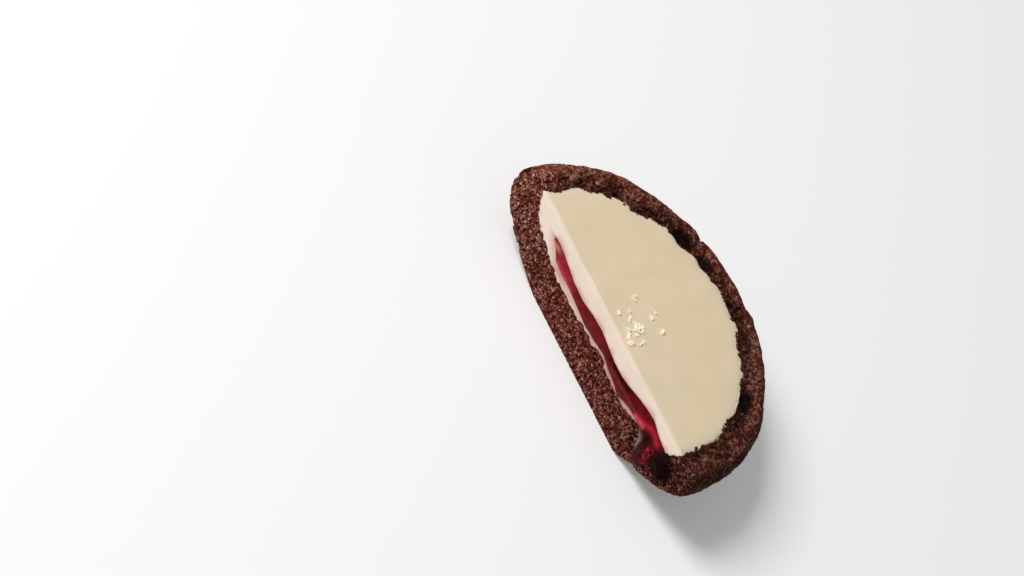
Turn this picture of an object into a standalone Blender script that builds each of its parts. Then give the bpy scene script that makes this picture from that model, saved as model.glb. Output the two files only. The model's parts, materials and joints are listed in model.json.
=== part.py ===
"""Half of a round cocoa sable cookie, lying on its underside: a thick short crust, a set cream
filling with a few sugar crystals on it, a layer of jam that runs back through the filling and
pools at one end of the cut, and one small berry in that pool.

The whole cookie's axis is Z and the cut is parallel to the XZ plane. Lengths are millimetres up
to the last step, which moves that axis so that the middle of the underside's box is the origin,
and scales to metres.
"""

import math
import random

import bmesh
import bpy
from mathutils import Matrix, Vector, noise

GAP = 0.3  # between two pieces that touch

AXIS_PLACE = (-0.14, -13.46)  # of the whole cookie's axis, from the middle of the half's box

# crust
RIM_RADIUS = 29.5
WIDEST_HEIGHT = 10.1
FLAT_RADIUS = 13.0
RIM_ROUND_WIDTH = 3.0
RIM_ROUND_HEIGHT = 3.5
INNER_SECTION = [  # floor, bowl and inside of the rim, as (radius, height)
    (0, 6.3), (9, 6.25), (11.5, 6.2), (13, 6.55), (16.2, 7.3), (19.3, 8.0), (21.2, 8.85),
    (22.6, 10.2), (23.8, 11.7), (24.5, 12.5), (25.2, 13.15),
]
COLUMNS = 22  # along the section
LAYERS = 4  # through the crust at the cut
TURN_STEPS = 84

# cut and filling
CUT_OFFSET = 2.04  # from the axis to the cut
CREAM_TOP = 12.7
CREAM_EDGE = [(24.0, 12.3), (23.7, 12.55), (22.8, 12.68)]
CUT_EDGE_ROUND = 0.5

# jam at the cut, as (x, lower height, upper height)
JAM_STATIONS = [
    (-16.6, 9.9, 10.3), (-15.0, 9.0, 10.25), (-13.6, 8.0, 10.1), (-11.5, 7.75, 9.7),
    (-8.7, 7.8, 9.15), (-5.5, 7.5, 9.05), (-2.5, 7.25, 9.6), (0.5, 7.55, 9.7), (4.0, 7.8, 9.2),
    (7.0, 7.3, 9.05), (10.0, 7.1, 9.4), (13.0, 7.5, 10.2), (15.2, 7.1, 10.6), (17.1, 6.7, 10.8),
    (17.9, 5.4, 10.6), (18.8, 3.7, 10.3), (19.6, 2.9, 10.1), (20.8, 3.0, 9.9), (21.7, 4.9, 9.8),
    (22.6, 6.0, 9.8), (23.6, 6.6, 9.5),
]
JAM_DEPTH = 18.0
JAM_MIDDLE = 2.0
JAM_SEAT = 1.2  # from the bowl up to the layer, away from the pool
POOL_DEPTH = 5.0
POOL_START = 14.0
JAM_BULGE = 0.25
JAM_RINGS = [0.0, 1.5, 3.0, 4.5, 7.0, 10.0, 13.0, 15.5, 17.2]

BERRY_CENTRE = (23.5, 1.3, 7.5)  # x, depth behind the cut, height
BERRY_RADIUS = 1.95

# unevenness of the crust's outside and of the cream's edge: (angle, half width, bulge)
RIM_LOBES = [
    (147, 6, 0.4), (134, 6, 0.25), (117, 4, 0.4), (112, 2, -0.3), (102, 4, 0.15),
    (84.5, 2.5, -0.35), (80, 2.5, 0.45), (69, 5, 0.2), (38, 6, 0.3), (24, 9, 0.3), (2, 4, 0.2),
]
CREAM_LOBES = [
    (178, 4, -0.6), (160, 3, -0.3), (139, 4, -0.65), (125, 4, 0.5), (116, 3, -0.7),
    (108, 2, 0.35), (104, 2, -0.3), (92, 7, 0.5), (77, 4, 0.4), (56, 3, 0.3), (48, 2, -0.2),
    (31, 3, -0.3), (-3, 3, 0.2),
]

# how far the underside stands above the even saucer at each end of the cut, as (radius, lift)
RIGHT_LIFT = [(13, 0), (16.7, -0.6), (20.7, 0.6), (23.5, 0.6), (26, 0.5), (28, 0.3), (29.5, 0)]
LEFT_LIFT = [
    (12, 0), (14, 0.4), (17, 0.55), (20, 0.45), (22, 0.25), (24, 0.1), (26, -0.2), (28.5, -0.2),
    (29.5, 0),
]

# dents inside the rim, as (angle, radius, half length, depth)
DENTS = [
    (116.3, 25.6, 2.4, 1.1), (103.6, 25.4, 1.5, 0.6), (138.6, 24.8, 1.2, 0.5),
    (148.6, 25.2, 1.8, 0.6), (44.0, 25.4, 2.8, 0.7), (37.0, 25.2, 1.2, 0.5), (70.0, 25.3, 1.5, 0.4),
]
DENT_HALF_WIDTH = 1.0

# sugar crystals on the cream, as (x, depth behind the cut)
CRYSTALS = [
    (-3.1, 7.5), (-2.6, 6.8), (0.25, 9.9), (0.95, 8.6), (3.8, 9.3), (-1.0, 4.7), (0.2, 4.1),
    (0.6, 3.6), (-1.0, 2.3), (1.3, 4.5), (1.7, 5.3), (2.2, 5.7), (2.8, 5.3), (2.3, 4.7),
    (1.9, 4.2), (2.8, 4.2), (3.2, 3.6), (2.5, 3.7), (4.6, 4.3), (4.9, 3.5), (2.1, 2.4),
    (2.8, 2.1), (3.3, 1.7), (4.3, 1.7), (4.5, 1.1),
]
CRYSTAL_SIZE = (0.4, 0.75)


def mix(a, b, t):
    return a + (b - a) * t


def smooth(low, high, value):
    t = min(1.0, max(0.0, (value - low) / (high - low)))
    return t * t * (3 - 2 * t)


def resampled(points, count):
    """The same polyline with evenly spaced points."""
    lengths = [0.0]
    for a, b in zip(points, points[1:]):
        lengths.append(lengths[-1] + math.dist(a, b))
    found = []
    for k in range(count):
        along = lengths[-1] * k / (count - 1)
        i = max(j for j in range(len(points) - 1) if lengths[j] <= along + 1e-9)
        t = (along - lengths[i]) / (lengths[i + 1] - lengths[i])
        found.append(tuple(mix(p, q, t) for p, q in zip(points[i], points[i + 1])))
    return found


def moved_aside(points, distance):
    """The polyline shifted to its left by distance."""
    found = []
    for i, (x, y) in enumerate(points):
        before = Vector(points[max(i - 1, 0)])
        after = Vector(points[min(i + 1, len(points) - 1)])
        along = (after - before).normalized()
        found.append((x - along.y * distance, y + along.x * distance))
    return found


def outer_section():
    """Flat underside, saucer-shaped rise and rounded rim, from the axis to the crest."""
    rise = RIM_RADIUS - FLAT_RADIUS
    curve = []
    for k in range(41):
        a = math.pi / 2 * k / 40
        curve.append((FLAT_RADIUS + rise * math.sin(a) ** (4 / 3), WIDEST_HEIGHT * (1 - math.cos(a))))
    for k in range(1, 13):
        b = math.pi / 2 * k / 12
        curve.append((
            RIM_RADIUS - RIM_ROUND_WIDTH * (1 - math.cos(b)),
            WIDEST_HEIGHT + RIM_ROUND_HEIGHT * math.sin(b),
        ))
    flat = [(FLAT_RADIUS * k / 3, 0.0) for k in range(3)]
    return flat + resampled(curve, COLUMNS - 3)


def half_turned(section):
    """A surface: the section turned half a turn, with both ends run on straight to the cut."""
    bm = bmesh.new()
    verts = [bm.verts.new((r, -CUT_OFFSET, z)) for r, z in section]
    edges = [bm.edges.new(pair) for pair in zip(verts, verts[1:])]

    def run_on(edges, y):
        made = bmesh.ops.extrude_edge_only(bm, edges=edges)["geom"]
        moved = [v for v in made if isinstance(v, bmesh.types.BMVert)]
        bmesh.ops.translate(bm, verts=moved, vec=(0, y, 0))
        return [e for e in made if isinstance(e, bmesh.types.BMEdge)
                and e.verts[0] in moved and e.verts[1] in moved]

    start = run_on(edges, CUT_OFFSET)
    spun = bmesh.ops.spin(
        bm, geom=start, cent=(0, 0, 0), axis=(0, 0, 1), angle=math.pi, steps=TURN_STEPS,
    )
    run_on([e for e in spun["geom_last"] if isinstance(e, bmesh.types.BMEdge)], -CUT_OFFSET)
    return bm


def close_seams(bm):
    bmesh.ops.remove_doubles(bm, verts=bm.verts, dist=0.002)
    bmesh.ops.dissolve_degenerate(bm, edges=bm.edges, dist=0.001)
    bmesh.ops.recalc_face_normals(bm, faces=bm.faces)


def lobes(table, angle):
    return sum(bulge * math.exp(-(((angle - at) / half) ** 2)) for at, half, bulge in table)


def between(points, x):
    """Height of a polyline at x."""
    for (x0, y0), (x1, y1) in zip(points, points[1:]):
        if x <= x1:
            return mix(y0, y1, max(0.0, (x - x0) / (x1 - x0)))
    return points[-1][1]


def polar(p):
    """Radius and angle in degrees, from the end of the cut at +X to past the end at -X."""
    angle = math.degrees(math.atan2(p.y, p.x))
    return math.hypot(p.x, p.y), angle + (360 if angle < -90 else 0)


def saucer_height(radius):
    t = max(0.0, min(1.0, (radius - FLAT_RADIUS) / (RIM_RADIUS - FLAT_RADIUS)))
    return WIDEST_HEIGHT * (1 - math.sqrt(1 - t ** 1.5))


def lift_ends(bm):
    """Bends the underside up or down towards the two ends of the cut."""
    for v in bm.verts:
        radius, angle = polar(v.co)
        above = v.co.z - saucer_height(radius)
        near = 1 - smooth(0, 5, above)
        near *= 1 - smooth(WIDEST_HEIGHT - 2, WIDEST_HEIGHT + 1, v.co.z)
        right = between(RIGHT_LIFT, radius) * (1 - smooth(4, 50, angle))
        left = between(LEFT_LIFT, radius) * (1 - smooth(4, 50, 180 - angle))
        v.co.z = max(0.0, v.co.z + near * (left + right))


def dent_rim(bm):
    for v in bm.verts:
        radius, angle = polar(v.co)
        for at, middle, half, depth in DENTS:
            along = math.radians(angle - at) * middle / half
            across = (radius - middle) / DENT_HALF_WIDTH
            if v.co.z > 11.5:
                v.co.z -= depth * math.exp(-along * along - across * across)


def spread(bm):
    """Moves every point outwards or inwards to the uneven outline."""
    for v in bm.verts:
        radius, angle = polar(v.co)
        if radius < 14:
            continue
        inner = lobes(CREAM_LOBES, angle) * smooth(7, 11, v.co.z)
        outer = lobes(RIM_LOBES, angle)
        outward = mix(inner, outer, smooth(24.8, 28.0, radius)) * smooth(14, 23, radius)
        at_cut = v.co.y < -CUT_OFFSET + 0.01
        v.co.x *= 1 + outward / radius
        v.co.y *= 1 + outward / radius
        if at_cut:
            v.co.y = -CUT_OFFSET


def lumps(p):
    """Height of the crust's crumb at a point."""
    coarse = 0.22 * noise.noise(p / 3.4)
    fine = 0.22 * noise.noise(p / 1.5 + Vector((7, 3, 5)))
    pit = 0.35 * smooth(0.22, 0.5, noise.noise(p / 2.1 + Vector((31, 17, 9))))
    return coarse + fine - pit


def make_object(name, bm, color=(0.5, 0.5, 0.5), rough=0.8):
    mesh = bpy.data.meshes.new(name)
    bm.to_mesh(mesh)
    bm.free()
    obj = bpy.data.objects.new(name, mesh)
    bpy.context.scene.collection.objects.link(obj)
    material = bpy.data.materials.new(name)
    material.use_nodes = True
    shader = material.node_tree.nodes["Principled BSDF"]
    shader.inputs["Base Color"].default_value = (*color, 1)
    shader.inputs["Roughness"].default_value = rough
    mesh.materials.append(material)
    return obj


def apply_boolean(obj, operation, other=None, collection=None, solver="EXACT"):
    cut = obj.modifiers.new("cut", "BOOLEAN")
    cut.operation = operation
    cut.solver = solver
    if collection:
        cut.operand_type = "COLLECTION"
        cut.collection = collection
    else:
        cut.object = other
    bpy.context.view_layer.objects.active = obj
    bpy.ops.object.modifier_apply(modifier=cut.name)


def make_crust():
    outer = outer_section()
    inner = resampled(INNER_SECTION, COLUMNS)
    crest = [
        tuple(mix(a, b, k / LAYERS) for a, b in zip(outer[-1], inner[-1])) for k in range(1, LAYERS)
    ]
    bm = half_turned(outer + crest + inner[::-1])
    for side in (-1, 1):
        grid = [
            [bm.verts.new((side * mix(a[0], b[0], k / LAYERS), -CUT_OFFSET, mix(a[1], b[1], k / LAYERS)))
             for k in range(LAYERS + 1)]
            for a, b in zip(outer, inner)
        ]
        for left, right in zip(grid, grid[1:]):
            for k in range(LAYERS):
                bm.faces.new((left[k], right[k], right[k + 1], left[k + 1]))
    close_seams(bm)
    lift_ends(bm)
    dent_rim(bm)
    spread(bm)
    bm.normal_update()
    inside = [Vector(p) for p in resampled(INNER_SECTION[:-1], 90)]
    moves = []
    for v in bm.verts:
        section_point = Vector((math.hypot(v.co.x, v.co.y), v.co.z))
        near_filling = min((section_point - p).length for p in inside) < 0.75
        at_cut = v.co.y < -CUT_OFFSET + 0.01
        if v.co.z < 0.01:
            moves.append(Vector())
        elif near_filling:
            moves.append(Vector())
        elif at_cut:
            move = Vector((0, 1.1 * abs(lumps(v.co)), 0))
            if any(abs(face.normal.y) < 0.7 for face in v.link_faces):
                move += Vector((v.normal.x, 0, v.normal.z)).normalized() * lumps(v.co) * 0.7
            moves.append(move)
        else:
            moves.append(v.normal * lumps(v.co) * smooth(0.0, 1.5, v.co.z))
    for v, move in zip(bm.verts, moves):
        v.co += move
        v.co.z = max(v.co.z, 0.0)
    return make_object("crust", bm, (0.10, 0.045, 0.032), 0.85)


def make_cream():
    side = [p for p in moved_aside(resampled(INNER_SECTION, COLUMNS), GAP) if p[1] < 12.05]
    side[0] = (0.0, side[0][1])
    top = [(CREAM_EDGE[-1][0] * k / 3, CREAM_TOP) for k in (2, 1, 0)]
    bm = half_turned(side + CREAM_EDGE + top)
    close_seams(bm)
    bmesh.ops.holes_fill(bm, edges=[e for e in bm.edges if e.is_boundary])
    spread(bm)
    front = [
        e for e in bm.edges
        if all(v.co.y < -CUT_OFFSET + 0.01 and v.co.z > CREAM_TOP - 0.1 for v in e.verts)
    ]
    bmesh.ops.bevel(
        bm, geom=front, offset=CUT_EDGE_ROUND, segments=2, profile=0.5, affect="EDGES",
        clamp_overlap=True, material=-1,
    )
    bmesh.ops.recalc_face_normals(bm, faces=bm.faces)
    return make_object("cream", bm, (0.85, 0.78, 0.62), 0.45)


def jam_ring(depth, grow):
    """Lower and upper points of the jam's section at a depth behind the cut."""
    narrow = math.sqrt(max(0.0, 1 - (depth / JAM_DEPTH) ** 2))
    dip = 1 - smooth(0, POOL_DEPTH, depth)
    lower = []
    upper = []
    for x, low, high in JAM_STATIONS:
        drawn_in = 0.5 * (1 - dip) * max(0.0, x - POOL_START)
        x_here = JAM_MIDDLE + (x - drawn_in - JAM_MIDDLE) * narrow
        seat = between(INNER_SECTION, math.hypot(x_here, depth - CUT_OFFSET)) + JAM_SEAT
        low_here = mix(max(low, seat), low, dip)
        high_here = mix(low_here, high, mix(0.5, 1, narrow))
        lower.append((x_here, low_here))
        upper.append((x_here, max(low_here + 0.3, high_here)))
    if grow:
        lower = moved_aside(lower, -grow)
        upper = moved_aside(upper, grow)
        for row in (lower, upper):
            row[0] = (row[0][0] - grow, row[0][1])
            row[-1] = (row[-1][0] + grow, row[-1][1])
    return lower, upper


def close_end(bm, ring, bulge):
    """Two rows of faces between the lower and upper points, their shared line standing out."""
    count = len(ring) // 2
    middle = {}
    for k in range(1, count - 1):
        low = ring[k].co
        high = ring[-1 - k].co
        out = bulge * min(1.0, (high - low).length / 2)
        middle[k] = bm.verts.new((low + high) / 2 + Vector((0, -out, 0)))
    for k in range(1, count - 2):
        bm.faces.new((ring[k], ring[k + 1], middle[k + 1], middle[k]))
        bm.faces.new((middle[k], middle[k + 1], ring[-2 - k], ring[-1 - k]))
    for end, near in ((0, 1), (count - 1, count - 2)):
        bm.faces.new((ring[end], ring[near], middle[near]))
        bm.faces.new((ring[end], middle[near], ring[-1 - end]))
        bm.faces.new((ring[-1 - end], middle[near], ring[-1 - near]))


def make_jam(name, grow=0.0, front=0.0):
    """Rings joined from the cut to the thin far edge. The front may stand ahead of the cut."""
    bm = bmesh.new()
    depths = [-front] + JAM_RINGS if front else JAM_RINGS
    rings = []
    for depth in depths:
        lower, upper = jam_ring(max(depth, 0.0), grow)
        y = -CUT_OFFSET + depth + (grow if depth == depths[-1] else 0)
        rings.append([bm.verts.new((x, y, z)) for x, z in lower + upper[::-1]])
    edge_loops = []
    for ring in rings:
        edge_loops.append([bm.edges.new((a, b)) for a, b in zip(ring, ring[1:] + ring[:1])])
    for a, b in zip(edge_loops, edge_loops[1:]):
        bmesh.ops.bridge_loops(bm, edges=a + b)
    close_end(bm, rings[0], 0.0 if front else JAM_BULGE)
    close_end(bm, rings[-1], 0.0)
    bmesh.ops.recalc_face_normals(bm, faces=bm.faces)
    return make_object(name, bm, (0.30, 0.01, 0.02), 0.1)


def make_berry(name, grow=0.0):
    x, depth, z = BERRY_CENTRE
    bm = bmesh.new()
    bmesh.ops.create_icosphere(bm, subdivisions=3, radius=BERRY_RADIUS + grow)
    bmesh.ops.scale(bm, vec=(1.0, 0.95, 1.04), verts=bm.verts)
    bmesh.ops.translate(bm, vec=(x, depth - CUT_OFFSET, z), verts=bm.verts)
    return make_object(name, bm, (0.03, 0.006, 0.012), 0.15)


def make_crystals():
    """Angular grains, each sunk a little into the cream, in a collection of their own."""
    grains = bpy.data.collections.new("grains")
    bpy.context.scene.collection.children.link(grains)
    draw = random.Random(11)
    for k, (x, depth) in enumerate(CRYSTALS):
        size = draw.uniform(*CRYSTAL_SIZE)
        bm = bmesh.new()
        bmesh.ops.create_cube(bm, size=size)
        bmesh.ops.scale(bm, vec=(1.0, draw.uniform(0.6, 0.9), draw.uniform(0.55, 0.8)), verts=bm.verts)
        turn = Matrix.Rotation(draw.uniform(0, math.pi), 3, "Z")
        tip = Matrix.Rotation(draw.uniform(-0.6, 0.6), 3, "X")
        bmesh.ops.rotate(bm, cent=(0, 0, 0), matrix=turn @ tip, verts=bm.verts)
        bmesh.ops.translate(bm, vec=(x, depth - CUT_OFFSET, CREAM_TOP + 0.12 * size), verts=bm.verts)
        grain = make_object(f"grain_{k}", bm)
        bpy.context.scene.collection.objects.unlink(grain)
        grains.objects.link(grain)
    return grains


def main():
    for obj in list(bpy.data.objects):
        bpy.data.objects.remove(obj, do_unlink=True)
    crust = make_crust()
    cream = make_cream()
    jam = make_jam("jam")
    berry = make_berry("berry")
    jam_room = make_jam("jam_room", grow=GAP, front=2.0)
    berry_room = make_berry("berry_room", grow=GAP)
    for obj in (crust, cream):
        apply_boolean(obj, "DIFFERENCE", jam_room)
        apply_boolean(obj, "DIFFERENCE", berry_room)
    apply_boolean(jam, "DIFFERENCE", berry_room)
    grains = make_crystals()
    apply_boolean(cream, "UNION", collection=grains)
    for obj in [jam_room, berry_room, *grains.objects]:
        bpy.data.objects.remove(obj, do_unlink=True)
    bpy.data.collections.remove(grains)
    pieces = (crust, cream, jam, berry)
    place = Matrix.Scale(0.001, 4) @ Matrix.Translation((*AXIS_PLACE, 0))
    for piece in pieces:
        piece.data.transform(place)
        piece.data.shade_smooth()


main()
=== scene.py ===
import json
import math
import random

import bmesh
import bpy
import numpy as np
from mathutils import Matrix, Quaternion, Vector, noise

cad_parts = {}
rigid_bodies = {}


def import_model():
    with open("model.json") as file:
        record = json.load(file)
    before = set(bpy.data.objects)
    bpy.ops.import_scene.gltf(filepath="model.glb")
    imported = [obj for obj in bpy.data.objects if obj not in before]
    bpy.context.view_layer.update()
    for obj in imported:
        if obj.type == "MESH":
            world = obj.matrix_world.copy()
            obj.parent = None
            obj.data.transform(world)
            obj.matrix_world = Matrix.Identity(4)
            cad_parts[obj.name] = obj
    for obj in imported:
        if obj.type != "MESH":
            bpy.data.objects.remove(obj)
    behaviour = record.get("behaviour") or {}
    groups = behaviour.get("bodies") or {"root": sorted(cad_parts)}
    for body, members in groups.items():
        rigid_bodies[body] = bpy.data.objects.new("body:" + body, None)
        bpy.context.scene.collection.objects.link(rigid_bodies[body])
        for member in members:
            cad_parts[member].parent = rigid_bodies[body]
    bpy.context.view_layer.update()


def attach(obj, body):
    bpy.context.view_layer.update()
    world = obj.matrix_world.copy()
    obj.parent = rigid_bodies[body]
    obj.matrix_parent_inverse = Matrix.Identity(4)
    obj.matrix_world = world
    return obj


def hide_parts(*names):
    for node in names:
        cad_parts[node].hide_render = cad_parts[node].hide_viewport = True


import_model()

# Lengths are millimetres in the whole cookie's own frame, axis Z and cut parallel to XZ, until
# a piece is settled into the part's frame in metres.
AXIS_PLACE = (-0.14, -13.46)
CUT = -2.04

# how finely each piece is meshed, and the grid laid over the crust's section
CRUST_SPACING = 0.20
CUT_CRUST_SPACING = 0.10
CREAM_SPACING = 0.14
JAM_SPACING = 0.10
MAP_STEP = 0.06
TURN_STEPS = 130

# crust
RIM_RADIUS = 29.5
WIDEST_HEIGHT = 10.1
FLAT_RADIUS = 13.0
SAUCER_POWER = 4 / 3
RIM_ROUND_WIDTH = 3.0
RIM_ROUND_HEIGHT = 3.5
INNER_SECTION = [  # floor, bowl and inside of the rim, as (radius, height)
    (0, 6.3), (9, 6.25), (11.5, 6.2), (13, 6.55), (16.2, 7.3), (19.3, 8.0), (21.2, 8.85),
    (22.6, 10.2), (23.8, 11.7), (24.5, 12.5), (25.2, 13.15),
]
RIM_LOBES = [  # (angle, half width, bulge)
    (147, 6, 0.4), (134, 6, 0.25), (117, 4, 0.4), (112, 2, -0.3), (102, 4, 0.15),
    (84.5, 2.5, -0.35), (80, 2.5, 0.45), (69, 5, 0.2), (38, 6, 0.3), (24, 9, 0.3), (2, 4, 0.2),
]
RIGHT_LIFT = [(13, 0), (16.7, -0.6), (20.7, 0.6), (23.5, 0.6), (26, 0.5), (28, 0.3), (29.5, 0)]
LEFT_LIFT = [
    (12, 0), (14, 0.4), (17, 0.55), (20, 0.45), (22, 0.25), (24, 0.1), (26, -0.2), (28.5, -0.2),
    (29.5, 0),
]
DENTS = [  # (angle, radius, half length, depth)
    (117.0, 25.6, 2.9, 1.6), (104.5, 25.2, 1.9, 1.0), (150.0, 25.6, 2.2, 0.8),
    (161.0, 25.8, 1.5, 0.4), (44.0, 25.4, 2.8, 1.3), (35.0, 25.3, 1.7, 0.9),
    (70.0, 25.6, 1.5, 0.5), (84.0, 25.9, 1.2, 0.4), (15.0, 26.6, 2.6, 0.4), (28.0, 26.2, 1.5, 0.4),
]
DENT_HALF_WIDTH = 1.35
LEFT_PULL = 0.45
LEFT_PULL_HEIGHT = 10.0
FLOOR_BUMPS = [(3.2, 1.75, 1.1), (-1.6, 2.0, 0.45)]  # (x, half width, rise) at the cut
CRACKS = [(112, 0.22), (84, 0.18), (46, 0.2)]  # (angle, half width)
CUT_BODY_BACK = 1.6
OUTER_BODY_FRONT = 0.9

# the crumb's relief
GRAIN_SIZE = 0.54
FINE_GRAIN_SIZE = 0.32
PORE_SIZE = 0.5
CLUMP_SIZE = 1.3
TORN_DEPTH = 0.30
CRACK_DEPTH = 0.35
HIDDEN_SHARE = 0.06

# filling
CREAM_TOP = 12.7
CREAM_SIDE_TOP = 12.05
CREAM_EDGE = [(24.25, 12.3), (23.9, 12.5), (23.2, 12.64), (22.0, 12.69)]
CREAM_CORNER = 0.75
CREAM_HIDDEN_SHARE = 0.10
CREAM_LOBES = [
    (178, 4, -0.6), (160, 3, -0.3), (139, 4, -0.65), (125, 4, 0.5), (116, 3, -0.7),
    (108, 2, 0.35), (104, 2, -0.3), (92, 7, 0.75), (77, 5, 0.85), (56, 3, 0.3), (48, 2, -0.2),
    (31, 3, -0.3), (-3, 3, 0.2),
]
JAM_STATIONS = [  # (x, lower height, upper height) at the cut
    (-16.6, 9.9, 10.3), (-15.0, 9.0, 10.25), (-13.6, 8.0, 10.1), (-11.5, 7.75, 9.7),
    (-8.7, 7.8, 9.15), (-5.5, 7.5, 9.05), (-2.5, 7.2, 9.6), (0.5, 7.4, 9.7), (3.4, 7.85, 9.3),
    (5.6, 7.35, 9.05), (8.2, 6.95, 9.05), (9.4, 6.6, 9.3), (10.2, 6.5, 9.4), (11.4, 7.05, 9.75),
    (13.2, 7.55, 10.25), (15.1, 7.6, 10.6), (16.2, 7.3, 10.75), (17.1, 6.8, 10.8),
    (17.9, 5.4, 10.6), (18.8, 3.7, 10.3), (19.6, 2.9, 10.1), (20.8, 3.0, 9.9), (21.7, 4.9, 9.8),
    (22.6, 6.0, 9.8), (23.6, 6.6, 9.5),
]
JAM_DEPTH = 18.0
JAM_MIDDLE = 2.0
JAM_SEAT = 1.2
JAM_LEAST = 0.3
JAM_GROW = 0.06
JAM_RING_POINTS = 110
JAM_HIDDEN_SHARE = 0.08
JAM_DEPTHS = [
    0.0, 0.5, 1.0, 1.5, 2.2, 3.0, 3.8, 4.5, 5.5, 7.0, 8.5, 10.0, 11.5, 13.0, 14.3, 15.5, 16.4, 17.2,
]
POOL_DEPTH = 5.0
POOL_START = 14.0
BERRY_CENTRE = (23.5, -0.74, 7.5)
BERRY_RADIUS = 1.95
BERRY_SHAPE = (1.0, 0.95, 1.04)
SMEAR_CENTRE = (-20.0, 9.6)
SMEAR_REACH = (2.0, 1.2)
# painted shadow on the crust round the berry: its middle and reach
BERRY_SHADOW_CENTRE = (24.0, 7.6)
BERRY_SHADOW_REACH = (2.3, 2.7)

# marks on the cut jam and on the crust beside it, lines of (x, z); the lip, arch, foot and sheen
# lines carry painted highlights, and the line on the crust a painted shadow
FILM_LIP = [(16.8, 7.7), (17.3, 7.0), (17.8, 6.2), (18.3, 5.2), (18.8, 4.3)]
POOL_ARCH = [(14.9, 8.0), (15.9, 8.4), (16.9, 8.95), (18.0, 9.7), (19.0, 9.75), (20.5, 9.2)]
POOL_HIGHLIGHT = [(14.7, 7.8), (15.9, 8.15), (16.6, 8.3)]
TIP_LINE = [(-16.8, 10.25), (-15.2, 10.2), (-13.4, 10.0)]
SHEEN_LINE = [(6.0, 7.9), (9.0, 7.9), (12.0, 8.15), (14.5, 8.1)]
SEED_RING = [
    (20.8 + 0.52 * math.cos(turn), 7.2 + 0.58 * math.sin(turn))
    for turn in np.linspace(0, 2 * math.pi, 13)
]
SEED_LOOPS = [
    SEED_RING,
    [(20.1, 6.5), (20.3, 6.0), (20.8, 5.9), (21.2, 6.3)],
    [(20.0, 5.6), (20.5, 5.1), (21.0, 5.3), (21.3, 5.8)],
    [(20.6, 4.6), (21.1, 4.4), (21.5, 4.9)],
    [(19.9, 6.9), (19.8, 6.2)],
]
# painted shadow on the crust left of the pool's film, under the jam
POOL_SHADOW_LINE = [(14.9, 6.6), (15.8, 6.5), (16.4, 5.8), (17.0, 4.8), (17.5, 3.8)]

CRYSTALS = [  # (x, depth behind the cut)
    (-3.1, 7.5), (-2.6, 6.8), (0.25, 9.9), (0.95, 8.6), (3.8, 9.3), (-1.0, 4.7), (0.2, 4.1),
    (0.6, 3.6), (-1.0, 2.3), (1.3, 4.5), (1.7, 5.3), (2.2, 5.7), (2.8, 5.3), (2.3, 4.7),
    (1.9, 4.2), (2.8, 4.2), (3.2, 3.6), (2.5, 3.7), (4.6, 4.3), (4.9, 3.5), (2.1, 2.4),
    (2.8, 2.1), (3.3, 1.7), (4.3, 1.7), (4.5, 1.1),
]
CRYSTAL_SIZES = (0.5, 0.95)
CHIP_SIZES = (0.15, 0.32)
CHIPS = 60
CHIP_SPREAD = 0.5
CRYSTAL_SEED = 11

# loose crumb, counts and sizes
CUT_GRAINS = 800
CUT_GRAIN_SIZES = (0.06, 0.18)
TORN_GRAINS = 150
TORN_GRAIN_SIZES = (0.08, 0.24)
RIM_GRAINS = 260
RIM_GRAIN_SIZES = (0.07, 0.16)
EDGE_GRAINS = 620
EDGE_GRAIN_SIZES = (0.16, 0.42)
EDGE_REACH = 0.95
LUMPS = [(137.7, 23.9), (139.0, 23.7), (140.3, 23.9), (138.8, 24.4)]  # (angle, radius)
LUMP_SIZES = (0.5, 0.7)
CRUMB_SEED = 5
BATCH = 40

# colours
CRUMB = "#96665a"
CRUMB_LIGHT = "#cfaca5"
CRUMB_DARK = "#6a362b"
# the crumb's pits, painted dark as shade, and the darkest loose grains
CRUMB_PIT = "#471407"
RIM_DARK = "#5d382d"
RIM_BAKED = "#876150"
EDGE_DARK = "#30130d"
EDGE_BROWN = "#5c362b"
RIM_LIGHT = "#a78578"
CREAM_TOP_COLOR = "#efdbb7"
CREAM_EDGE_COLOR = "#ebdbc6"
CREAM_CUT_COLOR = "#e8d7c6"
CREAM_GREY = "#cdbfa8"
CREAM_STAIN = "#bf7472"
JAM_DARK = "#330204"
JAM_DEEP = "#520c0e"
JAM_CRIMSON = "#5e090f"
JAM_MID = "#671719"
JAM_BRIGHT = "#8c222a"
JAM_PALE = "#662528"
JAM_SHEEN = "#6f3031"
ARCH_HIGHLIGHT = "#a8182c"
JAM_HIGHLIGHT = "#c2505c"
JAM_FILM = "#421a1a"
LIP_HIGHLIGHT = "#a58f9d"
JAM_TIP = "#4a3622"
JAM_ORANGE = "#d07462"
SEED_RED = "#a81c34"
BERRY_SKIN = "#140303"
BERRY_BLOOM = "#1c0608"
BERRY_NAVY_HIGHLIGHT = "#1c1630"
SUGAR_WHITE = "#fff9ea"
SUGAR_STRAW = "#ffefcf"
SUGAR_GLOW = "#fff0d2"
BOARD_WHITE = "#efefef"

# what the crust's browns are multiplied by, linear
COOL_BROWN = (0.99, 0.97, 1.06)
WARM_BROWN = (1.02, 1.01, 0.93)
DUSTY_BROWN = (0.97, 1.14, 1.14)
CORNER_SHADE = 0.87  # how much the cream's corner is darkened

# painted light and shade: how much lighter or darker the crumb is painted along the cut, by x, and
# round the rim, by angle; lighter at the left end, where the light falls
CUT_PAINTED_LIGHT = [(-28, 1.3), (-23, 1.2), (-15, 1.05), (0, 1.0), (15, 0.92), (22, 0.7), (27, 0.5)]
RIM_PAINTED_LIGHT = [(-5, 0.8), (30, 0.95), (90, 1.0), (130, 1.05), (155, 1.38), (185, 1.95)]

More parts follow.
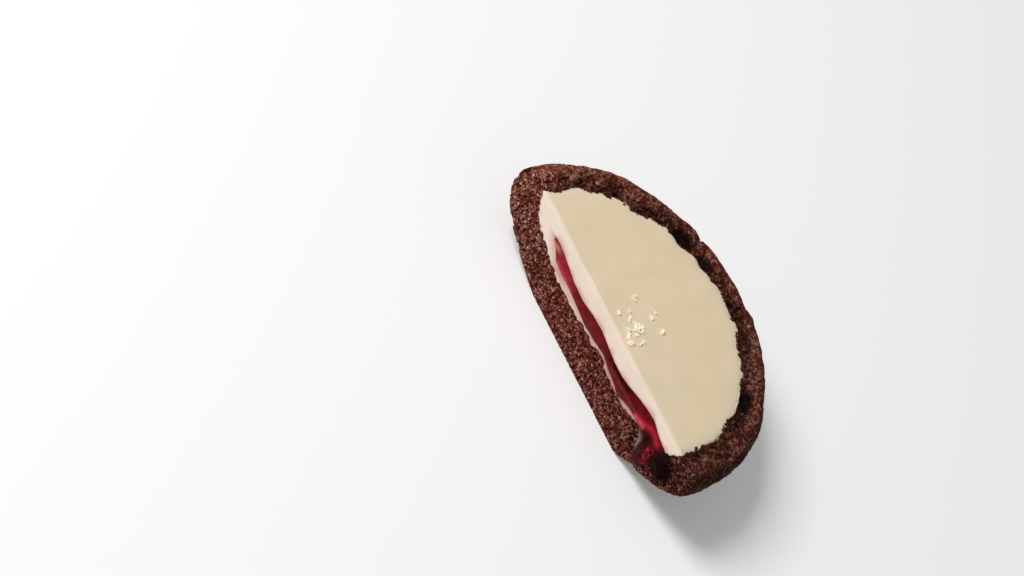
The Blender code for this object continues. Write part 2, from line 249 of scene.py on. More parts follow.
# lamp and camera, in metres; their ways point from the cookie and at it
LAMP_WAY = (-0.56, -0.48, 0.68)
LAMP_DISTANCE = 0.9
LAMP_SIZE = 0.4
LAMP_STRENGTH = 0.9
SKY_STRENGTH = 0.25
BOARD_GLOW = 0.18
BOARD_SIZE = 3.0
CAMERA_PLACE = (0.13049, -0.40027, 0.35847)
CAMERA_WAY = (-0.266003, 0.702384, -0.660227)
CAMERA_ROLL = 48.88
CAMERA_LENS = 120


def mix(a, b, t):
    return a + (b - a) * t


def smooth(low, high, value):
    t = np.clip((value - low) / (high - low), 0, 1)
    return t * t * (3 - 2 * t)


def linear(hexadecimal):
    """Linear colour of an sRGB hex value."""
    parts = [int(hexadecimal[k:k + 2], 16) / 255 for k in (1, 3, 5)]
    return np.array([c / 12.92 if c <= 0.04045 else ((c + 0.055) / 1.055) ** 2.4 for c in parts])


def between(points, x):
    return np.interp(x, [p[0] for p in points], [p[1] for p in points])


def resampled(points, count):
    """The same polyline with evenly spaced points."""
    points = np.array(points, float)
    lengths = np.concatenate([[0], np.cumsum(np.linalg.norm(np.diff(points, axis=0), axis=1))])
    along = np.linspace(0, lengths[-1], count)
    return np.column_stack([np.interp(along, lengths, points[:, k]) for k in (0, 1)])


def polar(p):
    """Radius and angle in degrees, from the end of the cut at +X to past the end at -X."""
    angle = np.degrees(np.arctan2(p[:, 1], p[:, 0]))
    return np.hypot(p[:, 0], p[:, 1]), np.where(angle < -90, angle + 360, angle)


def lobes(table, angle):
    return sum(bulge * np.exp(-(((angle - at) / half) ** 2)) for at, half, bulge in table)


def cloud(p, size, shift=(0, 0, 0)):
    """Smooth noise, about -0.6 to 0.6, with features of that size."""
    moved = p / size + np.array(shift)
    return np.array([noise.noise(Vector(q)) for q in moved])


def grains(p, size):
    """How high each point is on its grain, 0 in the creases to 1, and the grain's tone, -1 to 1."""
    height = []
    tone = []
    for q in p / size:
        distances, seeds = noise.voronoi(Vector(q))
        height.append(distances[1] - distances[0])
        tone.append(noise.cell(seeds[0] * 17.0))
    return smooth(0.0, 0.55, np.array(height)), np.array(tone)


def points_of(obj):
    found = np.empty(len(obj.data.vertices) * 3)
    obj.data.vertices.foreach_get("co", found)
    return found.reshape(-1, 3)


def normals_of(obj):
    found = np.empty(len(obj.data.vertices) * 3, np.float32)
    obj.data.vertex_normals.foreach_get("vector", found)
    return found.reshape(-1, 3).astype(float)


def place_points(obj, points):
    obj.data.vertices.foreach_set("co", points.ravel())
    obj.data.update()


def paint(obj, colors):
    """Keeps one linear colour at each point for the material to read."""
    layer = obj.data.attributes.new("tint", "FLOAT_COLOR", "POINT")
    layer.data.foreach_set("color", np.column_stack([colors, np.ones(len(colors))]).ravel())


def new_object(name, bm):
    mesh = bpy.data.meshes.new(name)
    bm.to_mesh(mesh)
    bm.free()
    obj = bpy.data.objects.new(name, mesh)
    bpy.context.scene.collection.objects.link(obj)
    return obj


def apply(obj, kind, **settings):
    modifier = obj.modifiers.new(kind.lower(), kind)
    for name, value in settings.items():
        setattr(modifier, name, value)
    bpy.context.view_layer.objects.active = obj
    bpy.ops.object.modifier_apply(modifier=modifier.name)


def even_mesh(obj, spacing, rounds):
    """Even small faces all over, with the corners eased."""
    apply(obj, "REMESH", mode="VOXEL", voxel_size=spacing)
    bm = bmesh.new()
    bm.from_mesh(obj.data)
    for _ in range(rounds):
        bmesh.ops.smooth_vert(
            bm, verts=bm.verts, factor=0.5, use_axis_x=True, use_axis_y=True, use_axis_z=True,
        )
    bm.to_mesh(obj.data)
    bm.free()


def thin_out(obj, hidden, kept):
    """Fewer, larger faces where nothing shows, keeping that share of them."""
    group = obj.vertex_groups.new(name="hidden")
    group.add(np.flatnonzero(hidden).tolist(), 1.0, "REPLACE")
    apply(obj, "DECIMATE", ratio=1 - (1 - kept) * hidden.mean(), vertex_group="hidden")
    obj.vertex_groups.clear()


def beside(x, z, line, width):
    """1 on a line of (x, z) points, falling to 0 a couple of widths away."""
    spots = resampled(line, 36)
    gap = np.min([np.hypot(x - a, z - b) for a, b in spots], axis=0)
    return np.exp(-(gap / width) ** 2)


# shapes of the crust and the cream


def outer_section():
    """Flat underside, saucer-shaped rise and rounded rim, from the axis to the crest."""
    curve = []
    for k in range(41):
        a = math.pi / 2 * k / 40
        reach = FLAT_RADIUS + (RIM_RADIUS - FLAT_RADIUS) * math.sin(a) ** SAUCER_POWER
        curve.append((reach, WIDEST_HEIGHT * (1 - math.cos(a))))
    for k in range(1, 13):
        b = math.pi / 2 * k / 12
        curve.append((
            RIM_RADIUS - RIM_ROUND_WIDTH * (1 - math.cos(b)),
            WIDEST_HEIGHT + RIM_ROUND_HEIGHT * math.sin(b),
        ))
    return [(0.0, 0.0), *curve]


def close_body(bm):
    """Caps the open ends and turns every face outward."""
    bmesh.ops.holes_fill(bm, edges=[e for e in bm.edges if e.is_boundary])
    bmesh.ops.triangulate(bm, faces=[f for f in bm.faces if len(f.verts) > 4])
    bmesh.ops.recalc_face_normals(bm, faces=bm.faces)


def half_turned(section):
    """A closed body: the section turned half a turn, run on straight to the cut and closed."""
    bm = bmesh.new()
    verts = [bm.verts.new((r, CUT, z)) for r, z in section]
    edges = [bm.edges.new(pair) for pair in zip(verts, verts[1:])]

    def run_on(edges, distance):
        made = bmesh.ops.extrude_edge_only(bm, edges=edges)["geom"]
        moved = {v for v in made if isinstance(v, bmesh.types.BMVert)}
        bmesh.ops.translate(bm, verts=list(moved), vec=(0, distance, 0))
        return [
            e for e in made
            if isinstance(e, bmesh.types.BMEdge) and e.verts[0] in moved and e.verts[1] in moved
        ]

    start = run_on(edges, -CUT)
    spun = bmesh.ops.spin(
        bm, geom=start, cent=(0, 0, 0), axis=(0, 0, 1), angle=math.pi, steps=TURN_STEPS,
    )
    run_on([e for e in spun["geom_last"] if isinstance(e, bmesh.types.BMEdge)], CUT)
    bmesh.ops.remove_doubles(bm, verts=bm.verts, dist=0.002)
    bmesh.ops.dissolve_degenerate(bm, edges=bm.edges, dist=0.001)
    bmesh.ops.holes_fill(bm, edges=[e for e in bm.edges if e.is_boundary])
    bmesh.ops.recalc_face_normals(bm, faces=bm.faces)
    return bm


def outward_shift(p):
    """How far the outline bulges from the round: the cream's edge inside, the rim outside."""
    radius, angle = polar(p)
    inner = lobes(CREAM_LOBES, angle) * smooth(7, 11, p[:, 2])
    outer = lobes(RIM_LOBES, angle)
    return mix(inner, outer, smooth(24.8, 28.0, radius)) * smooth(14, 23, radius)


def spread(p):
    """Moves points outward by the outline's bulges, and keeps the cut flat."""
    radius, _ = polar(p)
    at_cut = p[:, 1] < CUT + 0.01
    factor = 1 + outward_shift(p) / np.maximum(radius, 1)
    moved = p * np.column_stack([factor, factor, np.ones(len(p))])
    moved[at_cut, 1] = CUT
    return moved


def bend_crust(p):
    """Lifts the crust's outside near the cut, presses in the rim's dents, draws in the left end."""
    radius, angle = polar(p)
    rise = np.clip((radius - FLAT_RADIUS) / (RIM_RADIUS - FLAT_RADIUS), 0, 1)
    above = p[:, 2] - WIDEST_HEIGHT * (1 - np.sqrt(1 - rise ** (2 / SAUCER_POWER)))
    near = (1 - smooth(0, 5, above)) * (1 - smooth(WIDEST_HEIGHT - 2, WIDEST_HEIGHT + 1, p[:, 2]))
    right = between(RIGHT_LIFT, radius) * (1 - smooth(4, 50, angle))
    left = between(LEFT_LIFT, radius) * (1 - smooth(4, 50, 180 - angle))
    height = np.maximum(0, p[:, 2] + near * (left + right))
    on_rim = p[:, 2] > 11.5
    for at, middle, half, depth in DENTS:
        reach = dent_reach(radius, angle, at, middle, half)
        height -= on_rim * depth * np.exp(-reach ** 3)
    pull = LEFT_PULL * np.exp(-((p[:, 2] - LEFT_PULL_HEIGHT) / 3) ** 2)
    pull = pull * smooth(145, 180, angle) * smooth(24, 29, radius)
    return np.column_stack([p[:, :2] * (1 - pull / np.maximum(radius, 1))[:, None], height])


def dent_reach(radius, angle, at, middle, half):
    """Distance from a dent's middle, 1 at its rim."""
    along = np.radians(angle - at) * middle / half
    return np.hypot(along, (radius - middle) / DENT_HALF_WIDTH)


def floor_rise(p):
    """How far the crust's floor stands above its plain section near the cut."""
    rise = sum(bulge * np.exp(-(((p[:, 0] - at) / half) ** 4)) for at, half, bulge in FLOOR_BUMPS)
    return rise * np.clip(1 + (CUT - p[:, 1]) / 2, 0, 1)


def lift_floor(p):
    """Raises the crust's floor, and the cream's underside on it, into its humps."""
    on_floor = (p[:, 2] > 5) & (p[:, 2] < 7)
    return p + np.outer(floor_rise(p) * on_floor, (0, 0, 1))


def filling_map():
    """Distance from the filling's outline and the way into the filling, on a grid."""
    line = resampled(INNER_SECTION, 400)
    along = np.gradient(line, axis=0)
    along /= np.linalg.norm(along, axis=1)[:, None]
    radii = np.arange(0, 32, MAP_STEP)
    heights = np.arange(0, 15, MAP_STEP)
    wide, high = np.meshgrid(radii, heights, indexing="ij")
    gap = np.full(wide.shape, 99.0)
    inward = np.zeros((*wide.shape, 2))
    for (r, z), (dr, dz) in zip(line, along):
        here = np.hypot(wide - r, high - z)
        nearer = here < gap
        gap[nearer] = here[nearer]
        inward[nearer] = (-dz, dr)
    return gap, inward


MAP_GAP, MAP_INWARD = filling_map()


def map_index(value, count):
    return np.clip(np.rint(value / MAP_STEP).astype(int), 0, count - 1)


def filling_side(p):
    """Distance of each point from the filling's outline, and the way into the filling."""
    radius, _ = polar(p)
    i = map_index(radius - outward_shift(p), MAP_GAP.shape[0])
    k = map_index(p[:, 2] - floor_rise(p) * (p[:, 2] < 9.5), MAP_GAP.shape[1])
    unit = p[:, :2] / np.maximum(radius, 1e-6)[:, None]
    inward = MAP_INWARD[i, k]
    return MAP_GAP[i, k], np.column_stack([unit * inward[:, :1], inward[:, 1]])


def roughen_boundary(p):
    """The torn edge between crust and cream, the same for both."""
    gap, inward = filling_side(p)
    torn = TORN_DEPTH * cloud(p, 1.6, (3, 1, 8)) + TORN_DEPTH * cloud(p, 0.7, (9, 4, 2))
    at_top_edge = smooth(11.8, 12.2, p[:, 2]) * smooth(0.3, 1.5, p[:, 1] - CUT)
    torn *= mix(1.0, 2.0, at_top_edge)
    moved = p + inward * (torn * (1 - smooth(0.1, 0.8, gap)))[:, None]
    near_cut = p[:, 1] < CUT + 0.3
    moved[near_cut, 1] = p[near_cut, 1]
    return moved


# shape of the jam


def jam_bounds(x):
    xs, low, high = np.array(JAM_STATIONS).T
    return np.interp(x, xs, low), np.interp(x, xs, high)


def jam_ring(depth, grow):
    """Closed outline of the jam's section at a depth behind the cut."""
    narrow = math.sqrt(max(0.0, 1 - (depth / JAM_DEPTH) ** 2))
    dip = 1 - smooth(0, POOL_DEPTH, depth)
    xs = np.linspace(JAM_STATIONS[0][0], JAM_STATIONS[-1][0], JAM_RING_POINTS)
    low, high = jam_bounds(xs)
    drawn_in = 0.5 * (1 - dip) * np.maximum(0, xs - POOL_START)
    x_here = JAM_MIDDLE + (xs - drawn_in - JAM_MIDDLE) * narrow
    seat = between(INNER_SECTION, np.hypot(x_here, depth + CUT)) + JAM_SEAT
    low_here = mix(np.maximum(low, seat), low, dip)
    high_here = mix(low_here, high, mix(0.5, 1, narrow))
    high_here = np.maximum(low_here + JAM_LEAST, high_here)
    ends = np.zeros(len(xs))
    ends[0], ends[-1] = -grow, grow
    lower = np.column_stack([x_here + ends, low_here - grow])
    upper = np.column_stack([x_here + ends, high_here + grow])
    return np.vstack([lower, upper[::-1]])


def jam_body(name, grow, front):
    """Rings joined from the cut, or from ahead of it, to the thin far edge."""
    bm = bmesh.new()
    loops = []
    for depth in [-front, *JAM_DEPTHS] if front else JAM_DEPTHS:
        outline = jam_ring(max(depth, 0.0), grow)
        ring = [bm.verts.new((x, CUT + depth, z)) for x, z in outline]
        loops.append([bm.edges.new((a, b)) for a, b in zip(ring, ring[1:] + ring[:1])])
    for a, b in zip(loops, loops[1:]):
        bmesh.ops.bridge_loops(bm, edges=a + b)
    close_body(bm)
    return new_object(name, bm)


def berry_body(name, grow, finer):
    bm = bmesh.new()
    bmesh.ops.create_icosphere(bm, subdivisions=finer, radius=BERRY_RADIUS + grow)
    bmesh.ops.scale(bm, vec=BERRY_SHAPE, verts=bm.verts)
    bmesh.ops.translate(bm, vec=BERRY_CENTRE, verts=bm.verts)
    return new_object(name, bm)


# pieces


def make_crust(jam_room, berry_room):
    """The crust as two overlapping bodies: a fine one at the cut and a coarser one behind it."""
    section = np.vstack([resampled(outer_section(), 80), resampled(INNER_SECTION, 60)[::-1]])
    whole = new_object("whole_crust", half_turned(section))
    place_points(whole, spread(lift_floor(bend_crust(points_of(whole)))))
    for room in (jam_room, berry_room):
        apply(whole, "BOOLEAN", operation="DIFFERENCE", solver="EXACT", object=room)
    bodies = [
        crust_part(whole, "cut_crust", CUT + CUT_BODY_BACK, False, CUT_CRUST_SPACING),
        crust_part(whole, "outer_crust", CUT + OUTER_BODY_FRONT, True, CRUST_SPACING),
    ]
    bpy.data.objects.remove(whole, do_unlink=True)
    return bodies


def crust_part(whole, name, y, behind, spacing):
    """The crust in front of that plane or behind it, meshed evenly and given its crumb."""
    bm = bmesh.new()
    bm.from_mesh(whole.data)
    bmesh.ops.bisect_plane(
        bm, geom=[*bm.verts, *bm.edges, *bm.faces], plane_co=(0, y, 0), plane_no=(0, 1, 0),
        clear_inner=behind, clear_outer=not behind,
    )
    close_body(bm)
    part = new_object(name, bm)
    even_mesh(part, spacing, 1)
    place_points(part, roughen_boundary(points_of(part)))
    finish_crust(part)
    p = points_of(part)
    gap, _ = filling_side(p)
    under_filling = (gap < 0.6) & (p[:, 2] < 11.6) & (p[:, 1] > CUT + 0.7)
    on_joint = np.abs(p[:, 1] - y) < 0.02
    thin_out(part, on_joint | under_filling, HIDDEN_SHARE)
    return part


def crumb_texture(p):
    """The crumb at each point: heights and tones of two sizes of grain, pores and clumps."""
    grain, tone = grains(p + 0.15 * cloud(p, 0.9)[:, None], GRAIN_SIZE)
    fine, fine_tone = grains(p + 0.12 * cloud(p, 0.5)[:, None], FINE_GRAIN_SIZE)
    pores = smooth(0.14, 0.42, cloud(p, PORE_SIZE, (5, 9, 1)))
    clump = cloud(p, CLUMP_SIZE, (2, 8, 6))
    level = 0.50 * grain + 0.42 * fine - 0.80 * pores + 0.3 * clump
    level += 0.30 * (tone - 0.5) + 0.25 * (fine_tone - 0.5)
    return grain, fine, pores, clump, level


def cracked(p, radius, angle):
    """1 along the cracks in the rim, 0 beside them."""
    crack = np.zeros(len(p))
    sway = 1.2 * cloud(p, 1.5, (4, 1, 1))
    for at, width in CRACKS:
        beside_it = (angle - (at + sway)) * np.pi / 180 * radius / width
        crack = np.maximum(crack, np.exp(-(beside_it ** 2)))
    return crack * smooth(12.0, 12.8, p[:, 2])


def crumb_relief(p, radius, at_cut, grain, fine, pores, clump):
    """How far each point moves outward: gentle on the baked skin, torn inward at the cut."""
    top_skin = smooth(11.0, 13.0, p[:, 2]) * smooth(25.4, 27.0, radius) * (1 - at_cut)
    coarse = 0.22 * cloud(p, 3.4) + 0.22 * cloud(p, 1.5, (7, 3, 5))
    coarse -= 0.35 * smooth(0.22, 0.5, cloud(p, 2.1, (31, 17, 9)))
    coarse *= mix(0.7, 0.5, top_skin)
    raised = 0.09 * (grain - 0.6) + 0.06 * (fine - 0.6) - 0.12 * pores
    on_skin = (coarse + mix(raised, 0.55 * raised, top_skin)) * smooth(0.0, 1.5, p[:, 2])
    torn_in = 0.02 + 0.3 * np.abs(coarse) + 0.13 * (1 - grain) + 0.09 * (1 - fine) + 0.30 * pores
    torn_in += 0.20 * np.maximum(0, -clump)
    return mix(on_skin, -torn_in, at_cut)


def crumb_colors(level, skin):
    """Colour of the crumb at that level, from its pits to its palest grains; the level mixes each
    grain's own tone with its height, so the pits are darkened as painted shade and the raised
    grains lightened as painted light.
    """
    pit = linear(CRUMB_PIT)
    dark, body, light = (
        mix(linear(inside), linear(baked), skin[:, None])
        for inside, baked in ((CRUMB_DARK, RIM_DARK), (CRUMB, RIM_BAKED), (CRUMB_LIGHT, RIM_LIGHT))
    )
    colors = mix(pit, dark, smooth(-0.30, 0.10, level)[:, None])
    colors = mix(colors, body, smooth(0.10, 0.45, level)[:, None])
    return mix(colors, light, (mix(0.85, 0.6, skin) * smooth(0.62, 1.05, level))[:, None])


def crust_shade(p, radius, angle, at_cut, crack):
    """How much lighter or darker the crust is painted: painted light and shade round the rim and
    along the cut, painted shade in the crevice inside the rim, on the far end's outside, towards
    the underside, in the dents and in the cracks, and painted shadow beside the jam's pool and
    round the berry.
    """
    # painted light and shade round the rim and along the cut
    shade = mix(between(RIM_PAINTED_LIGHT, angle), between(CUT_PAINTED_LIGHT, p[:, 0]), at_cut)
    # painted shade in the crevice between the rim's inner slope and the cream, in patches
    crevice_shade = smooth(11.6, 12.2, p[:, 2]) * (1 - smooth(25.0, 26.2, radius - outward_shift(p)))
    crevice_shade *= (1 - at_cut) * (1 - smooth(125, 150, angle))
    crevice_shade *= mix(0.4, 1.0, smooth(-0.2, 0.2, cloud(p, 4.0)))
    shade *= mix(1.0, 0.5, crevice_shade)
    # painted shade on the outside of the rim towards its +X end
    far_side_shade = (1 - smooth(60, 110, angle)) * smooth(27.6, 29.0, radius) * (1 - at_cut)
    shade *= mix(1.0, 0.5, far_side_shade)
    # painted shade on the outside, darker towards the underside
    below = (1 - smooth(5.0, 9.5, p[:, 2])) * smooth(14, 22, radius) * (1 - at_cut)
    shade *= mix(1.0, 0.55, below)
    ragged = 1 + 0.35 * cloud(p, 1.6, (4, 4, 8))
    # painted shade in the rim's dents, the deeper dents darker
    for at, middle, half, depth in DENTS:
        reach = dent_reach(radius, angle, at, middle, half) * ragged
        dent_shade = (p[:, 2] > 11) * (1 - smooth(0.5, 1.1, reach)) * (1 - at_cut)
        shade *= mix(1.0, mix(0.6, 0.05, np.clip(depth - 0.3, 0, 1)), dent_shade)
    # painted shade in the rim's cracks
    shade *= mix(1.0, 0.45, crack)
    # painted shadow beside the jam's pool and round the berry
    return shade * mix(1.0, 0.2, crumb_shadow_by_jam(p))


def crumb_shadow_by_jam(p):
    """Painted shadow on the cut crumb, under the jam beside the pool and round the berry."""
    overhang_shadow = beside(p[:, 0], p[:, 2], POOL_SHADOW_LINE, mix(0.45, 0.8, smooth(5, 6.5, p[:, 2])))
    across = (p[:, 0] - BERRY_SHADOW_CENTRE[0]) / BERRY_SHADOW_REACH[0]
    up = (p[:, 2] - BERRY_SHADOW_CENTRE[1]) / BERRY_SHADOW_REACH[1]
    shadow_distance = np.hypot(across, up) * (1 + 0.25 * cloud(p, 1.2))
    return np.maximum(overhang_shadow, 1 - smooth(0.85, 1.1, shadow_distance)) * (p[:, 1] < CUT + 1.5)


def crust_hue(p, at_cut, skin):
    """Patches of warmer and cooler brown, and a dustier left end of the cut."""
    warm = mix(smooth(-0.3, 0.3, cloud(p, 2.8, (9, 1, 7))), 0.3, 0.6 * skin)
    hue = mix(np.array(COOL_BROWN), np.array(WARM_BROWN), warm[:, None])
    dusty = at_cut * (1 - smooth(-21, -8, p[:, 0]))
    return hue * mix(np.ones(3), np.array(DUSTY_BROWN), dusty[:, None])


def finish_crust(crust):
    """The crumb's relief and its colours."""
    p = points_of(crust)
    n = normals_of(crust)
    radius, angle = polar(p)
    gap, _ = filling_side(p)
    at_cut = (1 - smooth(0.05, 0.35, p[:, 1] - CUT)) * smooth(0.3, 0.75, -n[:, 1])
    on_joint = (np.abs(n[:, 1]) > 0.98) & (p[:, 1] > CUT + 0.6)
    hidden = (1 - smooth(0.35, 0.8, gap)) * (1 - smooth(12.0, 12.6, p[:, 2])) * (1 - at_cut)
    resting = (1 - smooth(0.0, 0.6, p[:, 2])) * (1 - at_cut)
    grain, fine, pores, clump, level = crumb_texture(p)
    crack = cracked(p, radius, angle) * (1 - at_cut)

    move = crumb_relief(p, radius, at_cut, grain, fine, pores, clump) * (1 - hidden)
    move = mix(move, -0.10 * (1 - grain) - 0.18 * pores, resting)
    move = (move - CRACK_DEPTH * crack) * ~on_joint
    moved = p + n * move[:, None]
    moved[:, 2] = np.maximum(moved[:, 2], 0)
    moved[:, 1] = np.maximum(moved[:, 1], CUT)
    place_points(crust, moved)

    skin = (1 - at_cut) * (p[:, 1] > CUT + 0.3)
    wall = skin * (1 - smooth(9.5, 12.5, p[:, 2])) * smooth(12, 16, radius)
    level = mix(level, 0.55 * level + 0.22, wall)
    shade = crust_shade(p, radius, angle, at_cut, crack)
    paint(crust, crumb_colors(level, skin) * crust_hue(p, at_cut, skin) * shade[:, None])


def make_cream(jam_room, berry_room):
    side = [p for p in resampled(INNER_SECTION, 60) if p[1] < CREAM_SIDE_TOP]
    top = [(CREAM_EDGE[-1][0] * k / 8, CREAM_TOP) for k in range(7, -1, -1)]
    cream = new_object("set_cream", half_turned(np.vstack([side, CREAM_EDGE, top])))
    place_points(cream, spread(lift_floor(points_of(cream))))
    for room in (jam_room, berry_room):
        apply(cream, "BOOLEAN", operation="DIFFERENCE", solver="EXACT", object=room)
    even_mesh(cream, CREAM_SPACING, 2)
    p = round_corner(roughen_boundary(points_of(cream)))
    place_points(cream, p)
    gap, _ = filling_side(p)
    shown = (p[:, 1] < CUT + 1.2) | ((gap < 1.0) & (p[:, 2] > 11.8))
    thin_out(cream, ~shown, CREAM_HIDDEN_SHARE)

    p = points_of(cream)
    n = normals_of(cream)
    at_cut = (1 - smooth(0.1, 0.9, p[:, 1] - CUT)) * smooth(0.25, 0.9, -n[:, 1])
    on_top = smooth(0.5, 0.9, n[:, 2]) * smooth(12.0, 12.5, p[:, 2])
    drag = 0.05 * cloud(p * np.array([0.35, 1, 1]), 1.2, (2, 6, 4))
    move = at_cut * (drag - 0.03) + on_top * 0.06 * cloud(p, 7.0, (8, 2, 5))
    place_points(cream, p + n * move[:, None])
    paint(cream, cream_colors(p, n, at_cut, on_top))
    return cream


def round_corner(p):
    """Eases the corner between the cream's cut and its top to a round of that radius."""
    back = p[:, 1] - CUT - CREAM_CORNER
    down = CREAM_TOP - CREAM_CORNER - p[:, 2]
    beyond = np.hypot(back, down)
    corner = (back < 0) & (down < 0) & (beyond > CREAM_CORNER)
    p[corner, 1] = CUT + CREAM_CORNER * (1 + back[corner] / beyond[corner])
    p[corner, 2] = CREAM_TOP - CREAM_CORNER * (1 + down[corner] / beyond[corner])
    return p


def cream_colors(p, n, at_cut, on_top):
    """Straw on top, paler at the edge and the cut, grey in one smear, pink round the jam."""
    gap, _ = filling_side(p)
    edge = on_top * (1 - smooth(0.4, 2.4, gap))
    by_cut = on_top * (1 - smooth(0.2, 1.8, p[:, 1] - CUT))
    corner = smooth(0.3, 0.85, n[:, 2]) * smooth(0.0, 0.3, -n[:, 1]) * smooth(11.4, 12.0, p[:, 2])
    grey = at_cut * smooth(0.0, 0.35, cloud(p, 1.4, (1, 7, 2))) * np.exp(
        -(((p[:, 0] - SMEAR_CENTRE[0]) / SMEAR_REACH[0]) ** 2)
        - ((p[:, 2] - SMEAR_CENTRE[1]) / SMEAR_REACH[1]) ** 2
    )
    stain = at_cut * cream_stain(p)
    colors = mix(linear(CREAM_TOP_COLOR), linear(CREAM_EDGE_COLOR), (0.7 * edge)[:, None])
    colors = mix(colors, linear(CREAM_CUT_COLOR), np.maximum(at_cut, 0.4 * by_cut)[:, None])
    colors *= mix(1.0, CORNER_SHADE, corner)[:, None]
    colors = mix(colors, linear(CREAM_GREY), grey[:, None])
    return mix(colors, linear(CREAM_STAIN), np.clip(stain, 0, 1)[:, None])


def cream_stain(p):
    """How pink the cut cream is: a patchy halo over the jam and a film under it."""
    x = p[:, 0]
    low, high = jam_bounds(x)
    above = np.maximum(0, p[:, 2] - high)
    below = np.maximum(0, low - p[:, 2])
    ends = np.maximum(0, JAM_STATIONS[0][0] - x) + np.maximum(0, x - 22)
    patchy = smooth(-0.25, 0.3, cloud(p, 2.6, (4, 4, 4)))
    over = np.exp(-((above + ends) / mix(0.35, 0.8, patchy)) ** 2) * (below == 0)
    under = np.exp(-((below + ends) / mix(1.4, 2.2, smooth(2, 8, x))) ** 2) * (above == 0)
    return 0.7 * over + under * mix(mix(0.6, 0.85, patchy), 0.9, smooth(0, 4, x))


def make_jam(berry_room):
    jam = jam_body("raspberry_jam", JAM_GROW, 0.0)
    apply(jam, "BOOLEAN", operation="DIFFERENCE", solver="EXACT", object=berry_room)
    even_mesh(jam, JAM_SPACING, 3)
    thin_out(jam, points_of(jam)[:, 1] > CUT + 0.9, JAM_HIDDEN_SHARE)

    p = points_of(jam)
    n = normals_of(jam)
    x, z = p[:, 0], p[:, 2]
    low, high = jam_bounds(x)
    level = np.clip((z - low) / (high - low), 0, 1)
    pool = smooth(15.0, 17.5, x)
    marks = pool_marks(p, x, z)
    front = (1 - smooth(0.2, 0.8, p[:, 1] - CUT)) * smooth(0.2, 0.7, -n[:, 1])
    recess = 0.26 * smooth(0.55, 0.95, level) - 0.10 * (1 - smooth(0.0, 0.35, level))
    inward = recess * (1 - pool) + 0.07 * cloud(p, 1.8, (6, 2, 1))
    inward += 0.60 * marks["hollow"] - 0.16 * marks["arch"] + 0.22 * marks["seed_bed"]
    inward -= 0.34 * marks["seeds"] * marks["seed_bed"] + 0.20 * marks["lip"]
    moved = p + np.outer(front * inward, (0, 1, 0))
    moved[:, 1] = np.maximum(moved[:, 1], CUT - 0.3)
    place_points(jam, moved)
    paint(jam, jam_colors(p, x, z, level, pool, marks))
    return jam


def pool_marks(p, x, z):
    """How much each point belongs to the film's lip, the seeds, the hollow and the arch."""
    wavy_x = x + 0.35 * cloud(p, 0.8, (1, 2, 3)) + 0.15 * cloud(p, 0.35)
    wavy_z = z + 0.35 * cloud(p, 0.8, (7, 8, 9)) + 0.15 * cloud(p, 0.35, (2, 2, 2))
    seeds = np.max([beside(wavy_x, wavy_z, loop, 0.2) for loop in SEED_LOOPS], axis=0)
    from_berry = np.hypot(wavy_x - BERRY_CENTRE[0], 0.8 * (wavy_z - BERRY_CENTRE[2]))
    return {
        "lip": beside(x, z, FILM_LIP, mix(0.12, 0.26, smooth(4.3, 6.5, z))),
        "seeds": seeds * mix(0.5, 1.0, smooth(-0.3, 0.1, cloud(p, 0.9, (8, 1, 4)))),
        "seed_bed": np.exp(-(((x - 20.7) / 1.0) ** 4) - ((z - 5.9) / 2.1) ** 4),
        "hollow": np.exp(-(((x - 18.6) / 1.15) ** 4) - ((z - 7.1) / 1.3) ** 4),
        "arch": beside(x, z, POOL_ARCH, 0.55),
        "foot_highlight": beside(x, z, POOL_HIGHLIGHT, 0.42),
        # where the jam round the berry gets painted shadow
        "shadow_by_berry": 1 - smooth(2.1, 3.0, from_berry),
    }


